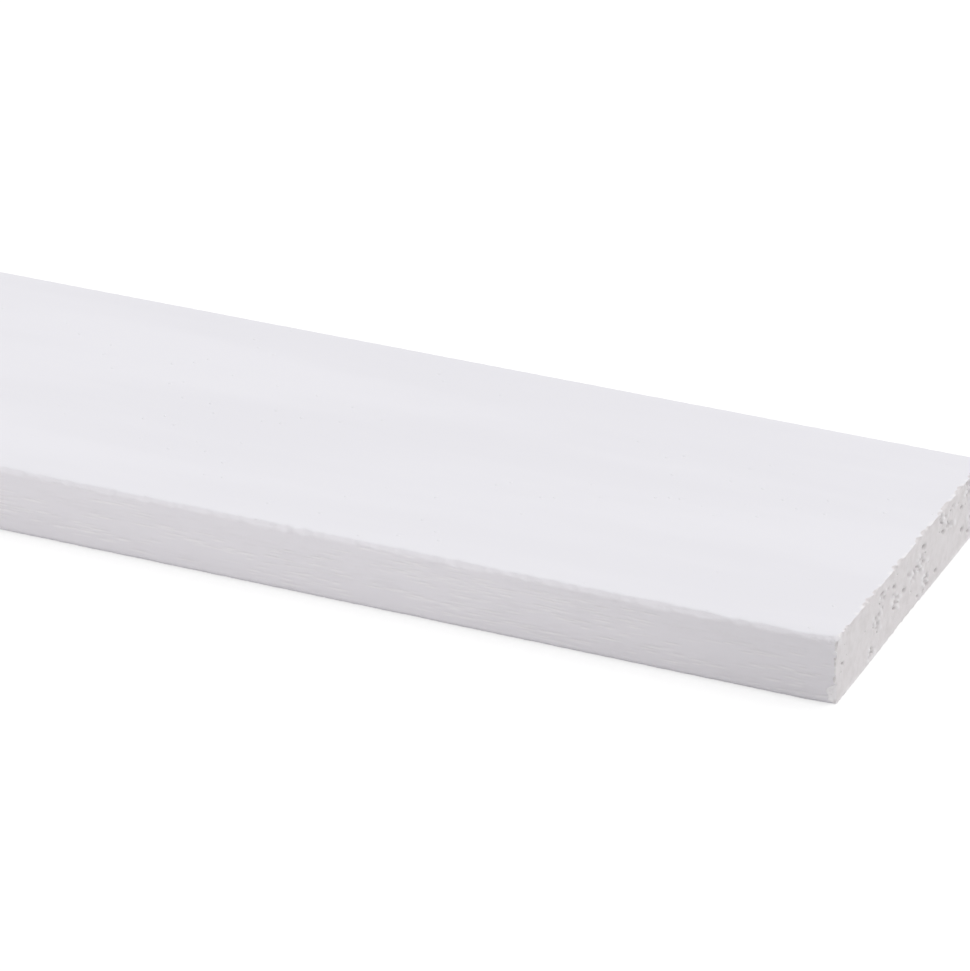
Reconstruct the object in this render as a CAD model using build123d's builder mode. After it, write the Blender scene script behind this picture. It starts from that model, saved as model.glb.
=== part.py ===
"""Primed hardwood board: one length of planed stock, rectangular in section, with eased long edges and sawn ends.

The board lies flat. X runs along its length, Y across its width and Z up, and the origin is at the middle
of its underside. Lengths are in millimetres.
"""

import os

from build123d import *

# Stock size
LENGTH = 2400.0
WIDTH = 95.0
THICKNESS = 16.0

# The planer takes a slanting cut off each of the four long edges, this far along both faces.
EASED_EDGE = 1.2

# The primer rounds the two arrises that each slanting cut leaves.
ARRIS_RADIUS = 0.5

# The saw leaves the rims of both ends almost sharp, and the primer rounds them too.
END_RIM_RADIUS = 0.3

# The section stands on the left end, with its sketch's X along the board's width.
left_end = Plane(origin=(-LENGTH / 2, 0, THICKNESS / 2), x_dir=(0, 1, 0), z_dir=(1, 0, 0))

with BuildPart() as board:
    with BuildSketch(left_end) as section:
        Rectangle(WIDTH, THICKNESS)
        chamfer(section.vertices(), length=EASED_EDGE)
        fillet(section.vertices(), radius=ARRIS_RADIUS)
    extrude(amount=LENGTH)
    end_faces = board.faces().filter_by(Axis.X)
    fillet(end_faces.edges(), radius=END_RIM_RADIUS)

board.part.label = "board"

os.makedirs("parts", exist_ok=True)
export_step(board.part, "parts/board.step")
print("board", board.part.bounding_box().size, "volume", round(board.part.volume))
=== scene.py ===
# %% [markdown]
# # A primed hardwood board
# The object is one length of planed hardwood, white primed all round and sawn square at both ends. It
# looks plain, so its likeness rests on small things: softly eased long edges, ragged rims at the saw
# cut, pores in the end grain, and faint grain that shows through the primer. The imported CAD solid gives
# the size and the place, and every piece made here stays inside its box.

import math

import bpy
import numpy as np
from mathutils import Matrix, Vector, geometry, noise


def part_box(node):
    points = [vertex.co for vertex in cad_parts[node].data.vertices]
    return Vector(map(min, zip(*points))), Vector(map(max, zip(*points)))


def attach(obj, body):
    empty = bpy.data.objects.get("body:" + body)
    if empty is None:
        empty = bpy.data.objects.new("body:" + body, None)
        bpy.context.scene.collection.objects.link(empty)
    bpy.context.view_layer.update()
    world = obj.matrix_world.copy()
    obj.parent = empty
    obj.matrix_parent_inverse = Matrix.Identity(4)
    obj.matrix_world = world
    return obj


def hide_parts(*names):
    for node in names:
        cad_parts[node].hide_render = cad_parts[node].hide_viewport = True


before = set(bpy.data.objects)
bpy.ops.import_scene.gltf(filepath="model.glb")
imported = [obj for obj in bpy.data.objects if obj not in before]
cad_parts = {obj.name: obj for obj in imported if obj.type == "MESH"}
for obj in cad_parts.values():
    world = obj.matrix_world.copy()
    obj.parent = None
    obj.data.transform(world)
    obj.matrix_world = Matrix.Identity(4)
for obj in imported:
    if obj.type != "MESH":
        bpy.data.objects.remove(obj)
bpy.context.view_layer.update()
low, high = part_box("board")
MM = 0.001
size = (high - low) / MM
print("board", [round(side, 2) for side in size], "mm")

# %% [markdown]
# ## The camera
# The photograph was taken from a good way off with a long lens, from above the right end and a little
# in front of it. That keeps the two long edges almost parallel. The angles, the lens and the aim were
# fitted to the five straight outlines of the board in the photograph, and a camera made from angles is
# easier to check than one made from a matrix of numbers.

# %% Camera
CAMERA_LENS = 198.1
CAMERA_TURN = math.radians(23.84)
CAMERA_TILT = math.radians(26.41)
CAMERA_ROLL = math.radians(0.19)
CAMERA_DISTANCE = 1.1761
AIM_INWARD = 96.1 * MM
AIM_FORWARD = 11.22 * MM


def add_object(name, data):
    """A new object with this data, linked to the scene."""
    made = bpy.data.objects.new(name, data)
    bpy.context.scene.collection.objects.link(made)
    return made


aim = Vector((high.x - AIM_INWARD, -AIM_FORWARD, high.z))
turned = Matrix.Rotation(CAMERA_TURN, 4, "Z")
tilted = Matrix.Rotation(math.pi / 2 - CAMERA_TILT, 4, "X")
rolled = Matrix.Rotation(CAMERA_ROLL, 4, "Z")
moved_off = Matrix.Translation((0, 0, CAMERA_DISTANCE))
camera = add_object("camera", bpy.data.cameras.new("camera"))
camera.data.lens = CAMERA_LENS
camera.matrix_world = Matrix.Translation(aim) @ turned @ tilted @ rolled @ moved_off
bpy.context.scene.camera = camera
print("camera at", [round(x, 3) for x in camera.matrix_world.translation])

# %% [markdown]
# ## The outline of the section
# Planed stock has the same section from end to end: flat faces, and long edges that the planer has
# eased with a small slanting cut, which the primer then softens. A cube with a bevel modifier gives
# that shape, but not the control over where the mesh is fine. Here the section is a ring of points,
# with its own count on each face, so that the edge with visible grain gets many rows and the underside
# gets few.

# %% Section ring
EASED_EDGE = 1.2 * MM
EDGE_CROWDING = 0.3
middle_z = (low.z + high.z) / 2
half_width = (high.y - low.y) / 2
half_thickness = (high.z - low.z) / 2


def run(start, end, count, crowding):
    """Points from start up to, but without, end. Crowding from 0 to 1 draws them towards both ends."""
    share = np.arange(count) / count
    share = share - crowding * np.sin(2 * math.pi * share) / (2 * math.pi)
    return np.array(start) + share[:, None] * (np.array(end) - np.array(start))


def section(top, front, back, underside, edge, crowding):
    """Points (y, z) round the section, from the back of the underside by way of the front edge."""
    in_y, in_z = half_width - EASED_EDGE, half_thickness - EASED_EDGE
    flat = [(underside, crowding), (front, 0.0), (top, crowding), (back, 0.0)]
    corners = [
        (in_y, -half_thickness), (-in_y, -half_thickness), (-half_width, -in_z), (-half_width, in_z),
        (-in_y, half_thickness), (in_y, half_thickness), (half_width, in_z), (half_width, -in_z),
    ]
    runs = []
    for side, (count, crowd) in enumerate(flat):
        start, end, after = corners[2 * side], corners[2 * side + 1], corners[(2 * side + 2) % 8]
        runs.append(run(start, end, count, crowd))
        runs.append(run(end, after, edge, EDGE_CROWDING))
    return np.concatenate(runs) + (0.0, middle_z)


shown_end_ring = section(top=270, front=92, back=44, underside=140, edge=10, crowding=0.5)
shown_ring = section(top=30, front=84, back=12, underside=12, edge=9, crowding=0.9)
plain_ring = section(top=24, front=14, back=14, underside=24, edge=6, crowding=0.85)
far_end_ring = section(top=140, front=30, back=30, underside=90, edge=7, crowding=0.5)
print("points round the section", [len(r) for r in (far_end_ring, plain_ring, shown_ring, shown_end_ring)])

# %% [markdown]
# ## Stations along the length
# The rings stand at stations along the board, the way a boat builder sets up frames. They crowd
# together at the saw cuts, where the rim is chipped, stay close along the stretch that a close view
# shows, and are far apart in between, where the board is straight. Past each cut, a few more rings will
# lead the skin round the rim and onto the sawn face, so each ring also notes how deep under the skin it
# is to lie.

# %% Stations
END_REACH = 6.0 * MM
SHOWN_REACH = 246.0 * MM
SHOWN_STEP = 0.8 * MM
PLAIN_STEP = 30.0 * MM
RIM_INSETS = np.array([0.06, 0.14, 0.25, 0.40, 0.58]) * MM
FAR_END_STEPS = 14
SHOWN_END_STEPS = 20

# A strip of triangles joins two zones, and the plain zone leaves it this much room at either end.
FAR_STRIP = 3.0 * MM
SHOWN_STRIP = 6.0 * MM
shown_start = high.x - SHOWN_REACH


def crowded(count):
    """Distances from a saw cut, closest together at the cut."""
    return END_REACH * (np.arange(count + 1) / count) ** 2


def even(start, end, step):
    """Evenly spaced stations from start to end, about step apart."""
    return np.linspace(start, end, int(round((end - start) / step)) + 1)


far_end = [(low.x, depth) for depth in RIM_INSETS[::-1]]
far_end += [(low.x + way_in, 0.0) for way_in in crowded(FAR_END_STEPS)]
plain_x = even(low.x + END_REACH + FAR_STRIP, shown_start - SHOWN_STRIP, PLAIN_STEP)
shown_x = even(shown_start, high.x - END_REACH - SHOWN_STEP, SHOWN_STEP)
shown_end = [(high.x - way_in, 0.0) for way_in in crowded(SHOWN_END_STEPS)[::-1]]
shown_end += [(high.x, depth) for depth in RIM_INSETS]
zones = [
    (far_end_ring, far_end),
    (plain_ring, [(x, 0.0) for x in plain_x]),
    (shown_ring, [(x, 0.0) for x in shown_x]),
    (shown_end_ring, shown_end),
]
print("rings", [len(stations) for _, stations in zones])

# %% [markdown]
# ## Joining the rings
# Two neighbouring rings of the same zone are joined by quads. Where a fine zone meets a coarse one, the
# counts differ, and a strip of triangles closes the gap: it walks round both rings at once and always
# steps on the ring that is behind. Everything is one closed skin, as the board is one piece of wood.

# %% Strips between unlike rings
def round_share(ring):
    """How far round the section each point of a ring is, from 0 to 1."""
    steps = np.linalg.norm(np.roll(ring, -1, axis=0) - ring, axis=1)
    return np.concatenate([[0.0], np.cumsum(steps)[:-1]]) / steps.sum()


def join_unlike(left, left_share, right, right_share):
    """Triangles between two rings with different counts, walking round both from their first points."""
    left_stops = np.append(left_share[1:], 1.0)
    right_stops = np.append(right_share[1:], 1.0)
    made = []
    i, j = 0, 0
    while i < len(left) or j < len(right):
        a, b = left[i % len(left)], right[j % len(right)]
        step_left = j == len(right) or (i < len(left) and left_stops[i] <= right_stops[j])
        if step_left:
            i += 1
            made.append((a, b, left[i % len(left)]))
        else:
            j += 1
            made.append((a, b, right[j % len(right)]))
    return made


print("last point of a plain ring at", round(round_share(plain_ring)[-1], 3), "of the way round")

# %% Skin of the long faces
points, shares, depths, quads, triangles = [], [], [], [], []
count = 0
last_ring = None
for ring, stations in zones:
    share = round_share(ring)
    for station_x, depth in stations:
        here = count + np.arange(len(ring))
        points.append(np.c_[np.full(len(ring), station_x), ring])
        shares.append(share)
        depths.append(np.full(len(ring), depth))
        count += len(ring)
        if last_ring is not None and len(last_ring) == len(here):
            quads.append(np.c_[last_ring, here, np.roll(here, -1), np.roll(last_ring, -1)])
        elif last_ring is not None:
            triangles += join_unlike(last_ring, last_share, here, share)
        last_ring, last_share = here, share
points, shares, depths, quads = (np.concatenate(rows) for rows in (points, shares, depths, quads))
far_rim = np.arange(len(far_end_ring))
shown_rim = last_ring
print("quads", len(quads), "triangles between zones", len(triangles))

# %% [markdown]
# ## Soft changes
# Worn and painted wood has no hard changes, so four small helpers make soft ones: a step, a
# larger-of-two with a rounded change-over, noise along the board, and a share that fades the fine
# relief in where the shown stretch begins. Noise from Blender's own library is the same in every run.

# %% Soft helpers
RELIEF_FADE = 12.0 * MM


def smooth(t):
    """0 below 0, 1 above 1 and a soft step between."""
    t = np.clip(t, 0, 1)
    return t * t * (3 - 2 * t)


def soft_max(first, second, softness):
    """The larger of two fields with a rounded change-over, and the share of the first in it."""
    share = 0.5 + 0.5 * np.clip((first - second) / softness, -1, 1)
    rounding = np.maximum(softness - np.abs(first - second), 0) ** 2 / (4 * softness)
    return np.maximum(first, second) + rounding, share


def ripples(a, b, seed):
    """Blender's own noise at each place, about -0.6 to 0.6. Sizes go into the coordinates."""
    return np.array([noise.noise(place) for place in np.column_stack([a, b, np.full(len(a), seed)])])


def shown_share(x):
    """1 on the shown stretch and 0 on the plain one, with a soft change between."""
    return smooth((x - shown_start) / RELIEF_FADE)


print("points on the shown stretch", int((shown_share(points[:, 0]) > 0.5).sum()))

# %% [markdown]
# ## Easing the long edges
# A planer eases the long edges with one cutter, but the primer then fills and runs, so the slanting cut
# of the real board has a fine tooth. Its size changes along the length here, and handling has worn back
# the front corner of the shown end. A soft maximum of the distances to the two faces and to the slant
# gives one smooth surface, and each ring point moves along the slope of that field until it lies on it.
# The rings past a cut are then smaller copies of the section, as deep under the skin as each one asks.

# %% Field of the section
FACE_SOFTNESS = 0.1 * MM
EDGE_SOFTNESS = 0.28 * MM


def section_field(y, z, eased, worn):
    """How far each point is outside the eased section, below 0 inside, and the direction that leads out."""
    side_y, side_z = np.sign(y), np.sign(z - middle_z)
    over_y = np.abs(y) - half_width + np.where(y < 0, worn, 0)
    over_z = np.abs(z - middle_z) - half_thickness
    slant = (eased + over_y + over_z) / math.sqrt(2)
    faces, share_y = soft_max(over_y, over_z, FACE_SOFTNESS)
    field, share_faces = soft_max(faces, slant, EDGE_SOFTNESS)
    lead_y = side_y * (share_faces * share_y + (1 - share_faces) / math.sqrt(2))
    lead_z = side_z * (share_faces * (1 - share_y) + (1 - share_faces) / math.sqrt(2))
    length = np.hypot(lead_y, lead_z)
    return field, lead_y / length, lead_z / length


inside, _, _ = section_field(np.zeros(1), np.full(1, high.z - MM), EASED_EDGE, 0.0)
print("a point 1 mm under the top face is", round(-inside[0] / MM, 2), "mm inside")

# %% Wandering edges and a worn corner
EDGE_WANDER = 0.06 * MM
EDGE_RIPPLE = 0.40 * MM
WANDER_LENGTH = 22.0 * MM
WANDER_APART = 7.3
PLAIN_SHARE = 0.2

# Length of a ripple, its weight, how far apart the noise of the four edges is taken, and its seed.
EDGE_RIPPLES = ((3.6 * MM, 0.2, 5.1, 4.5), (1.6 * MM, 1.2, 3.7, 7.5), (0.95 * MM, 1.4, 2.3, 5.7))

# How far the front corner of the shown end is worn back, how much more so at its top, and over what lengths.
WORN_FRONT = 0.6 * MM
WORN_TOP = 1.2 * MM
WORN_TOP_REACH = 4.0 * MM
WORN_REACH = 9.0 * MM
WORN_CURVE = 2.5


def eased_size(x, y, z):
    """The size of the slanting cut at each point. It wanders most on the upper front edge."""
    edge = 2.0 * (y > 0) + 1.0 * (z > middle_z)
    unsteady = np.where(edge == 1, 1.0, PLAIN_SHARE)
    wander = ripples(x / WANDER_LENGTH, edge * WANDER_APART, seed=1.5)
    ripple = 0.0
    for length, weight, apart, seed in EDGE_RIPPLES:
        ripple = ripple + weight * ripples(x / length, edge * apart, seed)
    return EASED_EDGE + unsteady * (EDGE_WANDER * wander + EDGE_RIPPLE * shown_share(x) * ripple)


def worn_size(x, z):
    """How far the front edge is worn back at each point, which is only at the shown end."""
    deepest = WORN_FRONT + WORN_TOP * smooth(1 - (high.z - z) / WORN_TOP_REACH)
    return deepest * np.clip(1 - (high.x - x) / WORN_REACH, 0, 1) ** WORN_CURVE


worn_most = worn_size(np.full(1, high.x), np.full(1, high.z))[0]
print("the corner is worn back by up to", round(worn_most / MM, 2), "mm")

# %% Rings onto the section
FIT_STEPS = 8

x, y, z = points.T
eased = eased_size(x, y, z)
y = y + worn_size(x, z) * smooth(1 - (y - low.y) / WORN_REACH)
for _ in range(FIT_STEPS):
    field, lead_y, lead_z = section_field(y, z, eased, worn_size(x, z))
    y = y - field * lead_y
    z = z - field * lead_z
y = y * (1 - depths / half_width)
z = middle_z + (z - middle_z) * (1 - depths / half_thickness)
points = np.column_stack([x, y, z])
print("slanting cut from", round(eased.min() / MM, 2), "to", round(eased.max() / MM, 2), "mm")

# %% [markdown]
# ## Where the end grain is open
# A saw cut across hardwood opens the wood's vessels and tears some fibres out. The primer bridges most
# of that, so the cut looks smooth near the front corner and crumbly in a few patches, with single deep
# pores among them. Patches, pores and tears are laid out first, because the mesh of the sawn face is
# built round them. The openings are drawn out along the growth rings, which lean a little across the
# board.

# %% Patches and deep pores
# Share of the width from the front, share of the thickness from the top, radius.
SHOWN_PATCHES = [
    (0.24, 0.90, 2.0 * MM), (0.27, 0.52, 2.0 * MM), (0.32, 0.30, 2.6 * MM), (0.39, 0.54, 2.4 * MM),
    (0.52, 0.54, 3.0 * MM), (0.57, 0.38, 2.6 * MM), (0.60, 0.80, 2.8 * MM), (0.70, 0.16, 3.0 * MM),
    (0.76, 0.33, 2.6 * MM), (0.87, 0.18, 3.2 * MM), (0.93, 0.55, 3.4 * MM),
]
FAR_PATCHES = [
    (0.10, 0.45, 2.8 * MM), (0.22, 0.66, 2.4 * MM), (0.33, 0.35, 3.2 * MM), (0.52, 0.50, 3.4 * MM),
    (0.66, 0.30, 2.6 * MM), (0.76, 0.62, 3.0 * MM), (0.90, 0.40, 2.6 * MM),
]
SHOWN_DEEP_PORES = [
    (0.052, 0.49, 0.48 * MM), (0.305, 0.17, 0.50 * MM), (0.384, 0.30, 0.66 * MM), (0.452, 0.54, 0.68 * MM),
    (0.547, 0.90, 0.46 * MM), (0.579, 0.235, 0.78 * MM), (0.670, 0.85, 0.60 * MM), (0.713, 0.373, 0.62 * MM),
    (0.838, 0.34, 0.54 * MM), (0.851, 0.72, 0.72 * MM), (0.894, 0.86, 0.56 * MM),
]
FAR_DEEP_PORES = [
    (0.15, 0.30, 0.50 * MM), (0.42, 0.68, 0.54 * MM), (0.60, 0.55, 0.46 * MM), (0.84, 0.25, 0.52 * MM),
]
PATCH_FADE = 1.5
TORN_GAIN = 1.4


def on_cut(across, down):
    """The place (y, z) on a cut, from its share of the width and of the thickness."""
    return np.array([low.y + 2 * across * half_width, high.z - 2 * down * half_thickness])


def soft_bump(t):
    """A smooth hump of height 1 at 0 that ends at -1 and 1."""
    return np.clip(1 - t * t, 0, None) ** 2


def torn_share(y, z, patches):
    """How torn a cut is at each point, from 0 to 1."""
    torn = np.zeros(len(y))
    for across, down, reach in patches:
        patch_y, patch_z = on_cut(across, down)
        torn = np.maximum(torn, soft_bump(np.hypot(y - patch_y, z - patch_z) / (PATCH_FADE * reach)))
    return np.clip(TORN_GAIN * torn, 0, 1)


print("patches", len(SHOWN_PATCHES), "and", len(FAR_PATCHES), "at the far end")

# %% Pores
# Depths are shares of a pore's radius, and the range of stray pores is a share of the cut.
RANDOM = np.random.default_rng(27)
PORES_PER_PATCH = 3
PORE_SPREAD = 0.55
PORE_RADIUS = (0.16 * MM, 0.32 * MM)
PORE_DEPTH = (0.6, 1.1)
DEEP_PORE_DEPTH = 0.9
STRAY_PORES = 16
STRAY_RADIUS = (PORE_RADIUS[0], 0.5 * PORE_RADIUS[1])
STRAY_DEPTH = (0.4, 1.0)
STRAY_RANGE = (0.03, 0.97)
PORE_STRETCH = 2.2
PORE_LEAN = 0.35
PORE_RISE = math.hypot(1, PORE_LEAN * PORE_STRETCH)
PORE_MARGIN = 0.95 * MM
PORE_CLEARANCE = 1.25


def off_pore(y, z, pore):
    """Distance from the middle of a pore, measured so that its rim is at its radius."""
    return np.hypot((y - pore[0]) / PORE_STRETCH, z - pore[1] + PORE_LEAN * (y - pore[0]))


def lay_pores(patches, deep_pores):
    """Pores as rows of y, z, radius and depth, with no two of them touching."""
    wanted = []
    for across, down, radius in deep_pores:
        wanted.append((*on_cut(across, down), radius, DEEP_PORE_DEPTH * radius))
    for across, down, reach in patches:
        for place in on_cut(across, down) + RANDOM.normal(0.0, PORE_SPREAD * reach, (PORES_PER_PATCH, 2)):
            radius = RANDOM.uniform(*PORE_RADIUS)
            wanted.append((*place, radius, radius * RANDOM.uniform(*PORE_DEPTH)))
    for _ in range(STRAY_PORES):
        radius = RANDOM.uniform(*STRAY_RADIUS)
        place = on_cut(*RANDOM.uniform(*STRAY_RANGE, 2))
        wanted.append((*place, radius, radius * RANDOM.uniform(*STRAY_DEPTH)))
    kept = []
    for pore in wanted:
        inside_y = abs(pore[0]) < half_width - PORE_MARGIN - PORE_STRETCH * pore[2]
        inside_z = abs(pore[1] - middle_z) < half_thickness - PORE_MARGIN - PORE_RISE * pore[2]
        clear = all(off_pore(*pore[:2], other) > PORE_CLEARANCE * (pore[2] + other[2]) for other in kept)
        if inside_y and inside_z and clear:
            kept.append(pore)
    return np.array(kept)


shown_pores = lay_pores(SHOWN_PATCHES, SHOWN_DEEP_PORES)
far_pores = lay_pores(FAR_PATCHES, FAR_DEEP_PORES)
print("pores", len(shown_pores), "and", len(far_pores), "at the far end")

# %% Tears
TEARS_PER_PATCH = 7
TEAR_SPREAD = 0.5

# In millimetres.
TEAR_HALF_BREADTH = (1.0, 1.9)
TEAR_HALF_HEIGHT = (0.45, 1.0)
TEAR_DEPTH = (0.25, 0.50)


def lay_tears(patches):
    """Tears as rows of y, z, half breadth, half height, depth and the side where torn fibres stand up."""
    tears = []
    for across, down, reach in patches:
        spread = RANDOM.normal(0.0, TEAR_SPREAD * reach, (TEARS_PER_PATCH, 2))
        for tear_y, tear_z in on_cut(across, down) + spread:
            half_breadth = RANDOM.uniform(*TEAR_HALF_BREADTH) * MM
            half_height = RANDOM.uniform(*TEAR_HALF_HEIGHT) * MM
            depth = RANDOM.uniform(*TEAR_DEPTH) * MM
            tears.append((tear_y, tear_z, half_breadth, half_height, depth, RANDOM.choice((-1, 1))))
    return tears


shown_tears = lay_tears(SHOWN_PATCHES)
far_tears = lay_tears(FAR_PATCHES)
print("tears", len(shown_tears) + len(far_tears))

# %% [markdown]
# ## The sawn faces
# A grid would waste points on the smooth part of the cut and still blur the pores. A Delaunay mesh
# takes points wherever they are wanted: a loose scatter over the face, closer in the torn patches, and
# three rings and a middle for each pore. Its border is the innermost ring of the rim, so the face
# closes the skin.

# %% Points of the sawn faces
# Share of a pore's radius and number of points, from its rim to its middle.
PORE_RINGS = ((1.0, 14), (0.72, 12), (0.4, 8), (0.0, 1))
PORE_TWIST = 2.0
PORE_GAP = 0.1 * MM
RIM_GAP = 0.16 * MM
TORN_FROM = 0.25
ROW_SHARE = 0.87
LOOSENESS = 0.2

# Spacing of the points where the cut is torn, and where it is smooth.
SHOWN_SPACING = (0.27 * MM, 0.60 * MM)
FAR_SPACING = (0.55 * MM, 0.9 * MM)


def loose_grid(spacing):
    """A loose hexagonal scatter over a whole cut."""
    rows = np.arange(low.z, high.z, ROW_SHARE * spacing)
    spots = np.array([
        (spot_y + (row % 2) * spacing / 2, spot_z)
        for row, spot_z in enumerate(rows) for spot_y in np.arange(low.y, high.y, spacing)
    ])
    return spots + RANDOM.uniform(-LOOSENESS, LOOSENESS, spots.shape) * spacing


def pore_points(pores):
    """The points of all the pores' rings."""
    rings = []
    for pore_y, pore_z, radius, _ in pores:
        for share, number in PORE_RINGS:
            angle = 2 * math.pi * np.arange(number) / number + PORE_TWIST * share
            ring_y = PORE_STRETCH * np.cos(angle)
            ring_z = np.sin(angle) - PORE_LEAN * ring_y
            rings.append((pore_y, pore_z) + share * radius * np.c_[ring_y, ring_z])
    return np.concatenate(rings)


def scatter(cut_x, spacing, patches, pores):
    """Points over a cut, clear of its rim and of the pores, and then the pores' own points."""
    close, wide = (loose_grid(apart) for apart in spacing)
    close = close[torn_share(*close.T, patches) >= TORN_FROM]
    wide = wide[torn_share(*wide.T, patches) < TORN_FROM]
    spots = np.concatenate([close, wide])
    outer_y = spots[:, 0] / (1 - RIM_INSETS[-1] / half_width)
    outer_z = middle_z + (spots[:, 1] - middle_z) / (1 - RIM_INSETS[-1] / half_thickness)
    outer_x = np.full(len(spots), cut_x)
    eased = eased_size(outer_x, outer_y, outer_z)
    field, _, _ = section_field(outer_y, outer_z, eased, worn_size(outer_x, outer_z))
    spots = spots[field < -RIM_GAP]
    for pore in pores:
        spots = spots[off_pore(*spots.T, pore) > pore[2] + PORE_GAP]
    return np.concatenate([spots, pore_points(pores)])


shown_spots = scatter(high.x, SHOWN_SPACING, SHOWN_PATCHES, shown_pores)
far_spots = scatter(low.x, FAR_SPACING, FAR_PATCHES, far_pores)
print("points on the sawn faces", len(shown_spots), "and", len(far_spots))

# %% Skin of the sawn faces
INSIDE_BORDER = 1
SAME_PLACE = 1e-6


def delaunay_cut(rim, spots):
    """Triangles over a cut, as indices into the rim's points followed by the spots."""
    flat = np.concatenate([points[rim][:, 1:], spots]) / MM
    border = [(i, (i + 1) % len(rim)) for i in range(len(rim))]
    made = geometry.delaunay_2d_cdt([Vector(place) for place in flat], border, [], INSIDE_BORDER, SAME_PLACE)
    source = [ids[0] for ids in made[3]]
    return [tuple(source[corner] for corner in face) for face in made[2]]


for rim, cut_x, spots in ((shown_rim, high.x, shown_spots), (far_rim, low.x, far_spots)):
    faces = delaunay_cut(rim, spots)
    index = np.concatenate([rim, len(points) + np.arange(len(spots))])
    order = slice(None) if cut_x > 0 else slice(None, None, -1)
    triangles += [tuple(int(index[corner]) for corner in face)[order] for face in faces]
    border = points[rim][:, 1:]
    nearest = [np.argmin(((border - spot) ** 2).sum(1)) for spot in spots]
    points = np.concatenate([points, np.c_[np.full(len(spots), cut_x), spots]])
    shares = np.concatenate([shares, shares[rim][nearest]])
    depths = np.concatenate([depths, np.full(len(spots), RIM_INSETS[-1])])
    print("sawn face at", round(cut_x, 3), "has", len(faces), "triangles")

# %% [markdown]
# ## Ragged rims at the saw cut
# The saw breaks shallow scallops out of the rim, most of all out of the top rim and the upright corner,
# and the lower front corner has been knocked off in handling. The rim is one more slanting cut, whose
# size changes as it runs round the end: hardly there at all, larger in each scallop. Points near the
# cut slide onto it and keep their order, so nothing folds over.

# %% Chips
# Lengths of the way round an end, which starts at the back of the underside.
SLANT = math.sqrt(2) * EASED_EDGE
UNDERSIDE_RUN = 2 * (half_width - EASED_EDGE)
FRONT_RUN = 2 * (half_thickness - EASED_EDGE)
FRONT_FROM = UNDERSIDE_RUN + SLANT
TOP_FROM = FRONT_FROM + FRONT_RUN + SLANT
BACK_FROM = TOP_FROM + UNDERSIDE_RUN + SLANT
ROUND = BACK_FROM + FRONT_RUN + SLANT

# Number of chips, range of their half lengths and range of their sizes, in millimetres.
UNDERSIDE_CHIPS = (14, (0.6, 2.0), (0.04, 0.15))
TOP_CHIPS = (36, (0.5, 2.2), (0.15, 0.9))
BACK_CHIPS = (5, (0.6, 1.6), (0.2, 0.5))
FAR_FRONT_CHIPS = (6, (0.5, 1.3), (0.2, 0.6))

# Height above the foot of the front edge, half length, size.
UPRIGHT_CHIPS = [
    (0.7 * MM, 2.3 * MM, 1.5 * MM), (2.3 * MM, 1.8 * MM, 1.9 * MM), (4.7 * MM, 0.6 * MM, 0.34 * MM),
    (5.3 * MM, 1.0 * MM, 0.46 * MM), (7.2 * MM, 1.3 * MM, 0.24 * MM), (8.8 * MM, 1.1 * MM, 0.42 * MM),
    (10.0 * MM, 0.6 * MM, 0.50 * MM), (12.3 * MM, 0.9 * MM, 0.36 * MM), (13.2 * MM, 0.9 * MM, 0.60 * MM),
]


def break_chips(first, last, number, half_lengths, sizes):
    """Chips along one run of the rim, as rows of place, half length and size."""
    places = RANDOM.uniform(first, last, number)
    half_lengths = RANDOM.uniform(*half_lengths, number) * MM
    sizes = RANDOM.uniform(*sizes, number) * MM
    return np.column_stack([places, half_lengths, sizes])


def rim_chips():
    """The chips of one cut, by the way round its rim."""
    return np.concatenate([
        break_chips(0.0, UNDERSIDE_RUN, *UNDERSIDE_CHIPS),
        break_chips(TOP_FROM, TOP_FROM + UNDERSIDE_RUN, *TOP_CHIPS),
        break_chips(BACK_FROM, ROUND, *BACK_CHIPS),
    ])


upright_chips = np.array([(FRONT_FROM + up, half_length, size) for up, half_length, size in UPRIGHT_CHIPS])
shown_chips = np.concatenate([rim_chips(), upright_chips])
far_chips = np.concatenate([rim_chips(), break_chips(FRONT_FROM, TOP_FROM, *FAR_FRONT_CHIPS)])
print("chips", len(shown_chips), "and", len(far_chips), "at the far end")

# %% Rims
RIM_CUT = 0.09 * MM
LEAST_RIM = 0.05 * MM
RIM_ROUGHNESS = 0.09 * MM
ROUGH_LENGTH = 1.3 * MM
ROUGHER_LENGTH = 0.6 * MM
CHIP_SHAPE = 0.6
UNDERSIDE_RIM = 0.22 * MM
UNDERSIDE_SPAN = 0.52
RIM_SOFTNESS = 0.08 * MM


def rim_size(way, chips, seed):
    """The size of the rim's cut at each place of the way round an end."""
    rough = ripples(way / ROUGH_LENGTH, way * 0, seed)
    rough = rough + 0.5 * ripples(way / ROUGHER_LENGTH, way * 0, seed + 3)
    rim = RIM_CUT + RIM_ROUGHNESS * rough
    for place, half_length, size in chips:
        scallop = soft_bump((way - place) / half_length) ** CHIP_SHAPE
        rim = np.maximum(rim, (size + RIM_ROUGHNESS * rough) * scallop)
    underside = soft_bump((way - UNDERSIDE_RUN / 2) / (UNDERSIDE_SPAN * UNDERSIDE_RUN))
    blunt = UNDERSIDE_RIM * (1 + 0.5 * rough) * underside
    return np.maximum(np.maximum(rim, blunt), LEAST_RIM)


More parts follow.
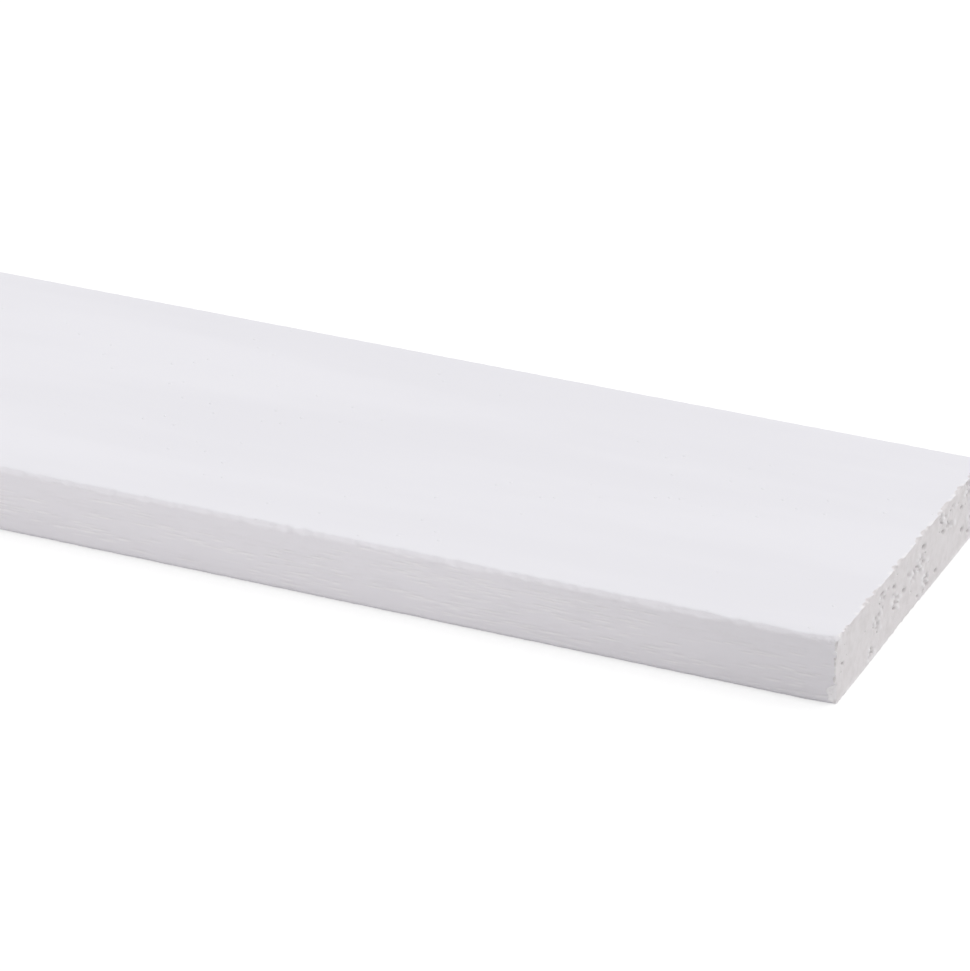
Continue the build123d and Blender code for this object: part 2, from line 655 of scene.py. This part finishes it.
x, y, z = points.T
way = shares * ROUND
end_side = np.sign(x)
from_cut = high.x - np.abs(x)
eased = eased_size(x, y, z)
field, lead_y, lead_z = section_field(y, z, eased, worn_size(x, z))
under = np.maximum(-field, 0)
rim = np.where(x > 0, rim_size(way, shown_chips, seed=2.5), rim_size(way, far_chips, seed=8.5))
push, _ = soft_max((rim - from_cut - under) / math.sqrt(2), np.zeros(len(x)), RIM_SOFTNESS)
x = x - end_side * push / math.sqrt(2)
y = y - lead_y * push / math.sqrt(2)
z = z - lead_z * push / math.sqrt(2)
print("the rims are cut back by up to", round(push.max() / MM, 2), "mm")

# %% [markdown]
# ## The torn face of the cut
# The relief of the cut only goes inward. Beads of primer stand along the rim between the scallops,
# where the coat of the wide face ran over it, and the sawn face lies a hair behind them. Each tear is a
# hollow with a crest of raised fibres beside it, and the pores go in next. Last, the cut leans a
# little, because a saw seldom leaves it dead square.

# %% Pores and tears as relief
CUT_FADE = 2.2 * MM
PORE_FLOOR = 0.4
CREST_HEIGHT = 0.7
CREST_NARROWING = 1.2
CREST_BESIDE = 1.5

# Tears stop short of the rim: how far under the skin they begin, and over what depth they grow.
HOLLOW_FROM = 0.3 * MM
HOLLOW_FADE = 0.9 * MM

near_cut = np.flatnonzero(from_cut < CUT_FADE)
near_under = under[near_cut]
near_way = way[near_cut]
near_x, near_y, near_z = points[near_cut].T
shown_side = near_x > 0


def pore_relief(pores):
    """How deep the pores reach at each point near a cut, and the same as a share of each pore's depth."""
    depth, share = np.zeros(len(near_y)), np.zeros(len(near_y))
    for pore in pores:
        cup = 1 - smooth((off_pore(near_y, near_z, pore) / pore[2] - PORE_FLOOR) / (1 - PORE_FLOOR))
        depth = np.maximum(depth, pore[3] * cup)
        share = np.maximum(share, cup)
    return depth, share


def tear_relief(tears):
    """The hollows and the crests of the tears at each point near a cut, as depths and heights."""
    hollow, crest = np.zeros(len(near_y)), np.zeros(len(near_y))
    for tear_y, tear_z, half_breadth, half_height, depth, side in tears:
        upright = soft_bump((near_z - tear_z + PORE_LEAN * (near_y - tear_y)) / half_height)
        across = (near_y - tear_y) / half_breadth
        beside = soft_bump(CREST_NARROWING * across - CREST_BESIDE * side)
        hollow = np.maximum(hollow, depth * upright * soft_bump(across))
        crest = np.maximum(crest, CREST_HEIGHT * depth * upright * beside)
    return hollow, crest


pore_depth, cup = np.where(shown_side, pore_relief(shown_pores), pore_relief(far_pores))
hollow, crest = np.where(shown_side, tear_relief(shown_tears), tear_relief(far_tears))
hollow = hollow * smooth((near_under - HOLLOW_FROM) / HOLLOW_FADE)
print("deepest pore", round(pore_depth.max() / MM, 2), "mm, deepest tear", round(hollow.max() / MM, 2), "mm")

# %% Relief of the cuts
FACE_BEHIND = 0.20 * MM
BEAD_REACH = 0.55 * MM
BEAD_LIMIT = 0.26 * MM
UNEVEN_SIZE = 3.0 * MM
FINE_RELIEF = 0.06 * MM
FINE_BREADTH = 0.7 * MM
FINE_HEIGHT = 0.9 * MM
SMOOTH_SHARE = 0.25
FOOT_LEAN = 0.08 * MM

shown_torn = torn_share(near_y, near_z, SHOWN_PATCHES)
far_torn = torn_share(near_y, near_z, FAR_PATCHES)
torn = np.where(shown_side, shown_torn, far_torn)
bead = 1 - smooth((rim[near_cut] - 0.5 * BEAD_LIMIT) / (0.5 * BEAD_LIMIT))
bead *= soft_bump(near_under / BEAD_REACH)
uneven = ripples(near_y / UNEVEN_SIZE, near_z / UNEVEN_SIZE, seed=3.7)
fine = ripples(near_y / FINE_BREADTH, near_z / FINE_HEIGHT, seed=6.1)
relief = FACE_BEHIND * (1 - bead) * (1 + 0.5 * uneven) + hollow - crest
relief += FINE_RELIEF * (SMOOTH_SHARE + torn) * (0.5 + fine)
relief += pore_depth
fade = smooth(1 - from_cut[near_cut] / CUT_FADE)
x[near_cut] -= end_side[near_cut] * fade * np.maximum(relief, 0)
lean = FOOT_LEAN * (high.z - points[:, 2]) / (high.z - low.z)
x = x - end_side * lean * smooth(1 - from_cut / END_REACH)
print("relief of the cuts up to", round(relief.max() / MM, 2), "mm")

# %% [markdown]
# ## Grain on the edge
# On the narrow edge the primer lies thin over rough, open grain, so short grooves run along it in loose
# flocks, each painted darker inside, with a lip below it that is painted lighter as a highlight. They are
# cut into the mesh on the stretch that was given many rows. On the wide faces the primer has been sanded
# flat, and there the grain is left to the finish.

# %% Flocks of grooves
FLOCKS = 54
GROOVES_PER_FLOCK = 8
FLOCK_START = 10.0 * MM
FLOCK_FOOT = 1.0 * MM
FLOCK_TOP = 0.9 * MM
FLOCK_SLOPE = 0.02

# Spread of a flock along and across the edge, and ranges of its grooves, in millimetres.
FLOCK_LENGTH = 6.0
FLOCK_BREADTH = 1.0
GROOVE_HALF_LENGTH = (1.3, 4.6)
GROOVE_HALF_BREADTH = (0.22, 0.40)
GROOVE_DEPTH = (0.05, 0.16)
GROOVE_SLOPE = 0.012


def cut_grooves():
    """Grooves as rows of x, way round the section, half length, half breadth, depth and slope."""
    grooves = []
    for _ in range(FLOCKS):
        flock_x = RANDOM.uniform(shown_start + FLOCK_START, high.x)
        flock_way = RANDOM.uniform(FRONT_FROM + FLOCK_FOOT, TOP_FROM - SLANT - FLOCK_TOP)
        slope = RANDOM.normal(0.0, FLOCK_SLOPE)
        for _ in range(GROOVES_PER_FLOCK):
            grooves.append((
                flock_x + RANDOM.normal(0.0, FLOCK_LENGTH) * MM,
                flock_way + RANDOM.normal(0.0, FLOCK_BREADTH) * MM,
                RANDOM.uniform(*GROOVE_HALF_LENGTH) * MM,
                RANDOM.uniform(*GROOVE_HALF_BREADTH) * MM,
                RANDOM.uniform(*GROOVE_DEPTH) * MM,
                slope + RANDOM.normal(0.0, GROOVE_SLOPE),
            ))
    return grooves


grooves = cut_grooves()
print("grooves", len(grooves))

# %% Grooves of the edge grain
LIP_BELOW = 0.9
EDGE_TOP = 1.0 * MM
EDGE_START = 0.3 * MM
WAVE_DEPTH = 0.06 * MM
WAVE_LENGTH = 6.0 * MM
WAVE_BREADTH = 1.2 * MM
WAVE_START = 1.0 * MM

groove, lip = np.zeros(len(x)), np.zeros(len(x))
on_edge = (way > FRONT_FROM) & (way < TOP_FROM + EDGE_TOP) & (from_cut > EDGE_START) & (x > shown_start)
edge_x, edge_way = x[on_edge], way[on_edge]
for groove_x, groove_way, half_length, half_breadth, depth, slope in grooves:
    along = edge_x - groove_x
    across = edge_way - groove_way - slope * along
    reach = soft_bump(along / half_length)
    groove[on_edge] = np.maximum(groove[on_edge], depth * reach * soft_bump(across / half_breadth))
    # The lip below each groove, which the finish paints as a highlight.
    brim = depth / (GROOVE_DEPTH[1] * MM) * reach * soft_bump(across / half_breadth + LIP_BELOW)
    lip[on_edge] = np.maximum(lip[on_edge], brim)
groove *= shown_share(x)
lip *= shown_share(x)
waves = np.maximum(0.5 + ripples(edge_x / WAVE_LENGTH, edge_way / WAVE_BREADTH, seed=2.9), 0)
waves *= shown_share(edge_x) * smooth(from_cut[on_edge] / WAVE_START)
sunk = groove.copy()
sunk[on_edge] += WAVE_DEPTH * waves
y = y - lead_y * sunk
z = z - lead_z * sunk
print("deepest groove", round(groove.max() / MM, 3), "mm")

# %% [markdown]
# ## What the finish has to know
# On the real board, beads of primer and raised fibres stand up and catch the light, and pores and chips lie
# in shade. Here that light and shade are also painted into the colour: painted highlights on beads, crests,
# the lips of grooves and the knocked-off foot, and painted shade in pores, tears, chips, grooves and on the
# slanting cuts. A painted image could say where, but here the mesh itself knows: each point gets four
# numbers from 0 to 1, namely how far it belongs to a cut, to a narrow edge, to a painted highlight and to
# painted shade.

# %% Cut, narrow and painted highlight places
CUT_EDGE = 0.1 * MM
NARROW_FROM = 0.4
NARROW_FADE = 0.5
# Painted highlights on the lips below the grooves and on the beads of the rim, and how long the beads are.
LIP_BRIGHTNESS = 0.75
BEAD_BRIGHTNESS = 0.75
BEAD_LENGTH = 1.7 * MM
BEAD_SHARPNESS = 0.2

# How many millimetres in from the cut the painted highlight of a bead shows, and the painted highlight of a
# crest 1 mm high.
BEAD_INWARD = 1.25
CREST_BRIGHTNESS = 5.0

# A larger painted highlight, on a bead at the top of the upright corner: place and half length in slants,
# reach in millimetres.
BLOB_PLACE = 0.4
BLOB_HALF_LENGTH = 1.3
BLOB_INWARD = 1.2

# The knocked-off foot of the corner, painted lighter as a highlight: how high it reaches, and from what size
# of the rim on.
FOOT_HEIGHT = 4.3 * MM
FOOT_FROM = 0.6 * MM
FOOT_FADE = 0.4 * MM
FOOT_BRIGHTNESS = 0.8

on_face = depths > 0
broken = smooth(push / CUT_EDGE)
sawn = np.where(on_face, 1.0, broken)
narrow = smooth((np.abs(lead_y) - NARROW_FROM) / NARROW_FADE) * (1 - sawn)
near_inward = from_cut[near_cut] / MM
apart = smooth(ripples(near_way / BEAD_LENGTH, near_way * 0, seed=9.1) / BEAD_SHARPNESS)
beaded = bead * smooth(BEAD_INWARD - near_inward) * apart
blob = soft_bump((near_way - TOP_FROM + BLOB_PLACE * SLANT) / (BLOB_HALF_LENGTH * SLANT))
beaded = np.maximum(beaded, blob * smooth(BLOB_INWARD - near_inward) * shown_side)
raised = np.clip(CREST_BRIGHTNESS * crest / MM, 0, 1) * on_face[near_cut]
at_foot = (way > FRONT_FROM - SLANT) & (way < FRONT_FROM + FOOT_HEIGHT) & (x > 0)
knocked_off = smooth((rim - FOOT_FROM) / FOOT_FADE) * broken * at_foot
# Painted highlight: lighter colour on groove lips, beads, raised crests and the knocked-off foot, where
# light falls.
painted_highlight = np.maximum(LIP_BRIGHTNESS * lip, FOOT_BRIGHTNESS * knocked_off)
painted_highlight[near_cut] = np.maximum(painted_highlight[near_cut], np.maximum(BEAD_BRIGHTNESS * beaded, raised))
print("points on the cuts", int((sawn > 0.5).sum()), "bright points", int((painted_highlight > 0.5).sum()))

# %% Painted shade in sunken places
# The painted shades of a tear and of a groove are for a depth of 1 mm.
PORE_SHADE = 0.7
TEAR_SHADE = 1.5
TEAR_SHADE_LIMIT = 0.55
CHIP_FROM = 0.2 * MM
CHIP_FADE = 0.3 * MM
UPRIGHT_START = 3.4 * MM
UPRIGHT_CHIP_SHADE = 0.55
TOP_CHIP_SHADE = 0.28
UNDERSIDE_EDGE = 0.08 * MM
UNDERSIDE_SHADE = 0.45
SLANT_SHADE = 0.02
GROOVE_SHADE = 0.9

# Painted shade: darker colour in pores, tears, chips, along the underside rim, on the slanting cuts and in
# the grooves, where shade falls.
torn_out = np.clip(TEAR_SHADE * hollow / MM, 0, TEAR_SHADE_LIMIT)
chipped = smooth((rim - CHIP_FROM) / CHIP_FADE) * broken
on_upright = (way > FRONT_FROM + UPRIGHT_START) & (way < TOP_FROM)
on_top_rim = (way > TOP_FROM) & (way < BACK_FROM)
on_underside = way < UNDERSIDE_RUN
painted_shade = np.zeros(len(x))
painted_shade[near_cut] = np.maximum(PORE_SHADE * cup, torn_out) * on_face[near_cut]
for shade in (
    UPRIGHT_CHIP_SHADE * chipped * on_upright,
    TOP_CHIP_SHADE * chipped * on_top_rim,
    UNDERSIDE_SHADE * smooth(push / UNDERSIDE_EDGE) * on_underside,
    SLANT_SHADE * (2 * lead_y * lead_z) ** 2 * (1 - sawn),
    GROOVE_SHADE * groove / MM * (1 - lip),
):
    painted_shade = np.maximum(painted_shade, shade)
print("sunken points", int((painted_shade > 0.25).sum()))

# %% [markdown]
# ## One mesh
# The skin becomes one mesh, as the board is one piece of wood, and point attributes carry the four
# numbers along with it. The mesh rides on the part's only body, and the imported solid is hidden.

# %% Board mesh
mesh = bpy.data.meshes.new("primed_board")
mesh.from_pydata(np.column_stack([x, y, z]).tolist(), [], quads.tolist() + triangles)
for name, values in (("sawn", sawn), ("narrow", narrow), ("painted_highlight", painted_highlight), ("painted_shade", painted_shade)):
    attribute = mesh.attributes.new(name, "FLOAT", "POINT")
    attribute.data.foreach_set("value", values.astype(np.float32))
mesh.polygons.foreach_set("use_smooth", np.ones(len(mesh.polygons), bool))
print("mesh is sound", not mesh.validate())
board = add_object("primed_board", mesh)
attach(board, "root")
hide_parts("board")
print("triangles", sum(len(p.vertices) - 2 for p in mesh.polygons))

# %% [markdown]
# ## A flat layout for baking
# When the board leaves Blender, its finish is baked into square images, so the skin needs a flat
# layout. An automatic one would give the long plain stretch nearly the whole sheet. Here that stretch
# is cut into strips that lie side by side, the stretch with visible grain gets its own larger field,
# and the two sawn faces get the finest one. Each field is a place on the sheet and a number of dots for
# each millimetre.

# %% Fields of the layout
SHEET = 1024
GAP = 8
STRIPS = 6
STRIPS_ABREAST = 3
PLAIN_DOTS = 0.9
SHOWN_DOTS = 2.4
FAR_CUT_DOTS = 4.0
SHOWN_CUT_DOTS = 6.0

strip_ends = plain_x[np.linspace(0, len(plain_x) - 1, STRIPS + 1).astype(int)[1:]]
strip_edges = np.array([low.x, *strip_ends])
strip_span = np.diff(strip_edges).max() / MM * PLAIN_DOTS + GAP
strip_rise = ROUND / MM * PLAIN_DOTS + GAP
shown_rise = 2 * strip_rise + 2 * GAP
cut_column = GAP + (high.x - strip_edges[-1]) / MM * SHOWN_DOTS + 2 * GAP
print("strips of", round(np.diff(strip_edges).max() / MM), "mm at most")

# %% Where each corner lies
ON_THE_CUT = 1e-6

corner_point = np.empty(len(mesh.loops), int)
mesh.loops.foreach_get("vertex_index", corner_point)
face_start = np.empty(len(mesh.polygons), int)
mesh.polygons.foreach_get("loop_start", face_start)
face_size = np.diff(np.append(face_start, len(corner_point)))
face_of_corner = np.repeat(np.arange(len(face_start)), face_size)
corner_x, corner_y, corner_z = points[corner_point].T
corner_way = way[corner_point]
farthest_way = np.maximum.reduceat(corner_way, face_start)[face_of_corner]
corner_way[(corner_way == 0) & (farthest_way > ROUND / 2)] = ROUND
face_x = np.add.reduceat(corner_x, face_start) / face_size
strip = np.clip(np.searchsorted(strip_edges, face_x, side="right") - 1, 0, STRIPS)[face_of_corner]
least_x = np.minimum.reduceat(np.abs(corner_x), face_start)[face_of_corner]
on_cut_face = least_x > high.x - ON_THE_CUT
print("corners on the cuts", int(on_cut_face.sum()), "of", len(corner_point))

# %% Flat layout
in_strip = strip < STRIPS
dots = np.where(in_strip, PLAIN_DOTS, SHOWN_DOTS)
across = GAP + in_strip * (strip % STRIPS_ABREAST) * strip_span + (corner_x - strip_edges[strip]) / MM * dots
up = GAP + np.where(in_strip, (strip // STRIPS_ABREAST) * strip_rise, shown_rise) + corner_way / MM * dots
for side, cut_dots in ((-1, FAR_CUT_DOTS), (1, SHOWN_CUT_DOTS)):
    on_this = on_cut_face & (np.sign(corner_x) == side)
    across[on_this] = cut_column + (corner_z[on_this] - low.z) / MM * cut_dots
    up[on_this] = shown_rise + GAP + (corner_y[on_this] - low.y) / MM * cut_dots
    cut_column += (high.z - low.z) / MM * cut_dots + 2 * GAP
layout = mesh.uv_layers.new(name="OFBake")
layout.data.foreach_set("uv", (np.column_stack([across, up]) / SHEET).ravel())
print("layout fills up to", round(across.max() / SHEET, 3), round(up.max() / SHEET, 3))

# %% [markdown]
# ## Writing shader maths as Python
# A finish is a graph of nodes. A small class wraps one socket, and its operators add Math nodes, so
# that a mask can be written as an expression. Every other node comes from the one method that sets a
# node's settings first and then its sockets.

# %% Socket class
class Wire:
    """One output socket of a node tree, which can be used in a Python expression."""

    def __init__(self, tree, socket):
        self.tree = tree
        self.socket = socket

    @classmethod
    def node(cls, tree, kind, settings=None, sockets=None, output=0):
        """Adds a node, sets its settings, then its sockets, and returns one of its outputs, if any."""
        made = tree.nodes.new(kind)
        for name, value in (settings or {}).items():
            setattr(made, name, value)
        for name, value in (sockets or {}).items():
            if isinstance(value, Wire):
                tree.links.new(value.socket, made.inputs[name])
            else:
                made.inputs[name].default_value = value
        return cls(tree, made.outputs[output]) if made.outputs else None

    def math(self, operation, first, second):
        """A Math node on two wires or numbers."""
        return Wire.node(self.tree, "ShaderNodeMath", {"operation": operation}, {0: first, 1: second})

    def __add__(self, other):
        return self.math("ADD", self, other)

    def __radd__(self, other):
        return self.math("ADD", other, self)

    def __sub__(self, other):
        return self.math("SUBTRACT", self, other)

    def __rsub__(self, other):
        return self.math("SUBTRACT", other, self)

    def __mul__(self, other):
        return self.math("MULTIPLY", self, other)


def empty_tree(owner):
    """Switches a material or a world to nodes, empties it and returns its tree."""
    owner.use_nodes = True
    owner.node_tree.nodes.clear()
    return owner.node_tree


print("operators of a wire: + - *")

# %% [markdown]
# ## The primer
# White primer is matt and a touch cool. On the wide faces it is smooth, with faint clouds and a few
# specks. On the narrow edges it is a little pinker and shows the grain, and on the cuts it is greyer
# and rough. Highlights and shade are also painted into the colour, lighter on beads, crests, lips and
# the knocked-off foot, and darker in pores, tears, chips and grooves. Images would tie the finish to one
# size, so it is built from noise in the board's own metres, and the mesh's four numbers say where each look
# belongs.

# %% Patterns
finish = bpy.data.materials.new("white_primer")
tree = empty_tree(finish)
place = Wire.node(tree, "ShaderNodeTexCoord", output="Object")
on_sawn, on_narrow, on_painted_highlight, in_painted_shade = (
    Wire.node(tree, "ShaderNodeAttribute", {"attribute_name": name}, output="Fac")
    for name in ("sawn", "narrow", "painted_highlight", "painted_shade")
)


def stretched(marks):
    """The place on the board, scaled to so many marks of a pattern a metre along each axis."""
    return Wire.node(tree, "ShaderNodeVectorMath", {"operation": "MULTIPLY"}, {0: place, 1: marks})


def cloud(marks, detail, roughness):
    """Soft noise from 0 to 1."""
    return Wire.node(
        tree, "ShaderNodeTexNoise",
        sockets={"Vector": stretched(marks), "Scale": 1.0, "Detail": detail, "Roughness": roughness},
    )


def ramp(value, low_end, high_end):
    """A soft step from 0 at low_end to 1 at high_end."""
    return Wire.node(
        tree, "ShaderNodeMapRange", {"interpolation_type": "SMOOTHSTEP"},
        {"Value": value, "From Min": low_end, "From Max": high_end},
    )


def blend(share, first, second):
    """A mix of two colours."""
    return Wire.node(tree, "ShaderNodeMix", {"data_type": "RGBA"}, {0: share, 6: first, 7: second}, 2)


print("nodes that read the place and the four numbers", len(tree.nodes))

# %% Colour of the primer
WIDE_PRIMER = (0.853, 0.844, 0.884, 1)
WIDE_SHADE = (0.829, 0.820, 0.860, 1)
EDGE_PRIMER = (0.845, 0.820, 0.858, 1)
CUT_PRIMER = (0.850, 0.818, 0.829, 1)
CUT_SHADE = (0.794, 0.762, 0.768, 1)
# The next two are painted light: a painted highlight colour and a painted shade colour.
PAINTED_HIGHLIGHT_COLOUR = (0.930, 0.910, 0.926, 1)
PAINTED_SHADE_COLOUR = (0.57, 0.535, 0.545, 1)
CUT_MOTTLE = (300, 300, 300)
COAT_CLOUDS = (8, 42, 42)

mottle = ramp(cloud(CUT_MOTTLE, 3.0, 0.6), 0.40, 0.68)
cut_colour = blend(mottle, CUT_PRIMER, CUT_SHADE)
uneven_coat = ramp(cloud(COAT_CLOUDS, 3.0, 0.5), 0.38, 0.66)
colour = blend(uneven_coat, WIDE_PRIMER, WIDE_SHADE)
colour = blend(on_narrow, colour, EDGE_PRIMER)
colour = blend(on_sawn, colour, cut_colour)
# Painted highlights, then painted shade, over the primer's own colour.
colour = blend(on_painted_highlight, colour, PAINTED_HIGHLIGHT_COLOUR)
colour = blend(in_painted_shade, colour, PAINTED_SHADE_COLOUR)
print("nodes for the colour", len(tree.nodes))

# %% Fine relief of the primer
STREAKS = (9, 900, 900)
DASHES = (130, 3200, 3200)
DASH_FLOCKS = (28, 260, 260)
CRUMBS = (1500, 1500, 1500)
CRINKLES = (420, 900, 900)
SPECKS = (110, 110, 0)
SPECK_PATCHES = (18, 50, 50)
STREAK_RISE = 0.15
SPECK_RISE = 2.0
EDGE_DASH_DROP = 0.9
DASH_DROP = 0.1
CUT_CRUMB_RISE = 1.2
CRUMB_RISE = 0.03
CRINKLE_RISE = 6.0
RELIEF_STRENGTH = 0.6
RELIEF_HEIGHT = 0.08 * MM

streaks = cloud(STREAKS, 3.0, 0.55)
dashes = ramp(cloud(DASHES, 2.0, 0.5), 0.52, 0.68) * ramp(cloud(DASH_FLOCKS, 2.0, 0.5), 0.42, 0.62)
crumbs = cloud(CRUMBS, 4.0, 0.6)
crinkles = cloud(CRINKLES, 3.0, 0.55) * on_narrow * (1 - on_narrow) * CRINKLE_RISE
off_speck = Wire.node(
    tree, "ShaderNodeTexVoronoi", {"voronoi_dimensions": "2D"}, {"Vector": stretched(SPECKS), "Scale": 1.0}
)
specks = (1 - ramp(off_speck, 0.02, 0.05)) * ramp(cloud(SPECK_PATCHES, 2.0, 0.5), 0.48, 0.56)
specks = specks * (1 - on_narrow) * (1 - on_sawn)
height = streaks * STREAK_RISE + specks * SPECK_RISE
height = height - dashes * (on_narrow * EDGE_DASH_DROP + DASH_DROP)
height = height + crumbs * (on_sawn * CUT_CRUMB_RISE + CRUMB_RISE) + crinkles
normal = Wire.node(
    tree, "ShaderNodeBump",
    sockets={"Strength": RELIEF_STRENGTH, "Distance": RELIEF_HEIGHT, "Height": height},
)
print("nodes for colour and relief", len(tree.nodes))

# %% Primer finish
MATT = 0.55
STREAK_MATT = 0.1
GLINT = 0.3

matt = MATT + streaks * STREAK_MATT
primer = Wire.node(
    tree, "ShaderNodeBsdfPrincipled",
    sockets={"Base Color": colour, "Roughness": matt, "Normal": normal, "Specular IOR Level": GLINT},
)
Wire.node(tree, "ShaderNodeOutputMaterial", sockets={"Surface": primer})
mesh.materials.append(finish)
print("nodes in the finish", len(tree.nodes))

# %% [markdown]
# ## Floor and light
# The board lies on a plain white floor, whose own glow keeps it white in the picture while it still
# takes the board's shadow. A broad soft sun from above and behind stands for the studio's big lamp, the
# white room fills the rest, and a long low card lifts the front edge. The card stops short of the shown
# end, so the edge darkens there, as it does in the photograph.

# %% Floor
FLOOR_HALF = 60.0
FLOOR_BELOW = 0.02 * MM
FLOOR_BOUNCE = 0.8
FLOOR_SHADE = 0.40
FLOOR_GLOW = 0.68
WHITE = (1, 1, 1, 1)


def grey(level):
    """A grey of one level, as a colour."""
    return (level, level, level, 1)


def seen_directly(tree):
    """1 for what the camera sees straight, in a mirror or through glass, and 0 for light that bounces."""
    kinds = ("Is Camera Ray", "Is Glossy Ray", "Is Transmission Ray")
    straight, mirrored, through = (Wire.node(tree, "ShaderNodeLightPath", output=kind) for kind in kinds)
    return straight + mirrored + through


floor_mesh = bpy.data.meshes.new("floor")
floor_corners = [(-1, -1), (1, -1), (1, 1), (-1, 1)]
floor_z = low.z - FLOOR_BELOW
floor_points = [(FLOOR_HALF * a, FLOOR_HALF * b, floor_z) for a, b in floor_corners]
floor_mesh.from_pydata(floor_points, [], [(0, 1, 2, 3)])
floor = add_object("floor", floor_mesh)
paper = bpy.data.materials.new("white_floor")
tree = empty_tree(paper)
bounce = Wire.node(tree, "ShaderNodeBsdfDiffuse", sockets={"Color": grey(FLOOR_BOUNCE)})
shade = Wire.node(tree, "ShaderNodeBsdfDiffuse", sockets={"Color": grey(FLOOR_SHADE)})
glow = Wire.node(tree, "ShaderNodeEmission", sockets={"Color": WHITE, "Strength": FLOOR_GLOW})
white = Wire.node(tree, "ShaderNodeAddShader", sockets={0: shade, 1: glow})
either = Wire.node(tree, "ShaderNodeMixShader", sockets={0: seen_directly(tree), 1: bounce, 2: white})
Wire.node(tree, "ShaderNodeOutputMaterial", sockets={"Surface": either})
floor_mesh.materials.append(paper)
print("floor", 2 * FLOOR_HALF, "m wide")

# %% Room and big lamp
ROOM_LIGHT = 0.45
SUN_STRENGTH = 1.72
SUN_SPREAD = math.radians(70)
SUN_FROM_BACK = math.radians(-16)
SUN_FROM_RIGHT = math.radians(16)

room = bpy.data.worlds.new("studio")
bpy.context.scene.world = room
tree = empty_tree(room)
level = seen_directly(tree) * (1 - ROOM_LIGHT) + ROOM_LIGHT
backdrop = Wire.node(tree, "ShaderNodeBackground", sockets={"Color": WHITE, "Strength": level})
Wire.node(tree, "ShaderNodeOutputWorld", sockets={"Surface": backdrop})

sun = add_object("big_soft_lamp", bpy.data.lights.new("big_soft_lamp", "SUN"))
sun.data.energy = SUN_STRENGTH
sun.data.angle = SUN_SPREAD
sun.rotation_euler = (SUN_FROM_BACK, SUN_FROM_RIGHT, 0)
bpy.context.scene.view_settings.view_transform = "Standard"
print("room at", ROOM_LIGHT, "and sun at", SUN_STRENGTH)

# %% Low card
CARD_LENGTH = 2.6
CARD_HEIGHT = 0.04
CARD_STRENGTH = 0.20
CARD_INWARD = 0.025
CARD_AWAY = 0.075

card = add_object("low_white_card", bpy.data.lights.new("low_white_card", "AREA"))
card.data.shape = "RECTANGLE"
card.data.size = CARD_LENGTH
card.data.size_y = CARD_HEIGHT
card.data.energy = CARD_STRENGTH
card.visible_camera = False
card.location = (high.x - CARD_INWARD - CARD_LENGTH / 2, low.y - CARD_AWAY, low.z + CARD_HEIGHT / 2)
card.rotation_euler = (math.radians(90), 0, 0)
